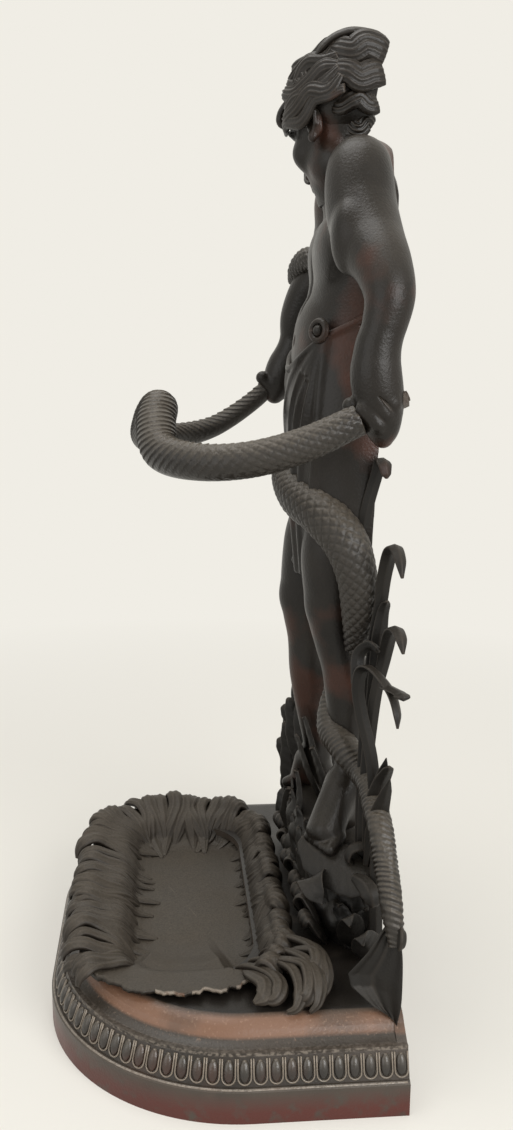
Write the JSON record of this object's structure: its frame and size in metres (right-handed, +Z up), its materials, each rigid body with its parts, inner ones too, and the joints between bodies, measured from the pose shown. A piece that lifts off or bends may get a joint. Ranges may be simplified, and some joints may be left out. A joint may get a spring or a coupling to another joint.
{
  "type": "umbrella stand",
  "caption": "Free-standing cast-iron umbrella stand: a figure holds a serpent loop that keeps umbrellas upright over a lift-out drip tray on a moulded half-oval plinth.",
  "frame": {"origin": "on the floor under the middle of the plinth's bounding box", "axes": "+Z up, -Y towards the front of the stand, +X towards the figure's left hand; the flat back is at the largest Y"},
  "size_m": [0.46, 0.2849, 0.829],
  "materials": {
    "plinth_iron": "brown-black patinated casting, worn to brown on the edges",
    "tray_iron": "brown-black patinated casting, bare grey iron where the rim is broken",
    "figure_iron": "brown-black patinated casting with a satin rub",
    "serpent_iron": "brown-black patinated casting, polished by handling",
    "foliage_iron": "brown-black patinated casting",
    "fastener_iron": "rusted dark iron"
  },
  "bodies": {
    "stand": {"base_plinth": "plinth_iron", "egg_band": "plinth_iron", "mound": "foliage_iron", "torso": "figure_iron", "loincloth": "figure_iron", "loincloth_knot": "figure_iron", "head": "figure_iron", "hair": "figure_iron", "left_arm": "figure_iron", "right_arm": "figure_iron", "left_leg": "figure_iron", "right_leg": "figure_iron", "serpent_ring": "serpent_iron", "serpent_neck": "serpent_iron", "serpent_thigh_coil": "serpent_iron", "serpent_tail": "serpent_iron", "mound_leaves": "foliage_iron", "dock_leaf": "foliage_iron", "left_acanthus": "foliage_iron", "right_acanthus": "foliage_iron", "left_reed_1": "foliage_iron", "left_reed_2": "foliage_iron", "left_reed_3": "foliage_iron", "left_reed_4": "foliage_iron", "left_reed_5": "foliage_iron", "left_reed_6": "foliage_iron", "right_reed_1": "foliage_iron", "right_reed_2": "foliage_iron", "right_reed_3": "foliage_iron", "right_reed_4": "foliage_iron", "right_reed_5": "foliage_iron", "right_reed_6": "foliage_iron", "ring_studs": "fastener_iron", "ring_nuts": "fastener_iron", "figure_bolts": "fastener_iron", "figure_washers": "fastener_iron"},
    "drip_tray": {"drip_tray": "tray_iron"}
  },
  "joints": [
    {"name": "tray_lift", "type": "slide", "parent": "stand", "child": "drip_tray", "axis": [0, 0, 1], "range_m": [0, 0.12]}
  ]
}
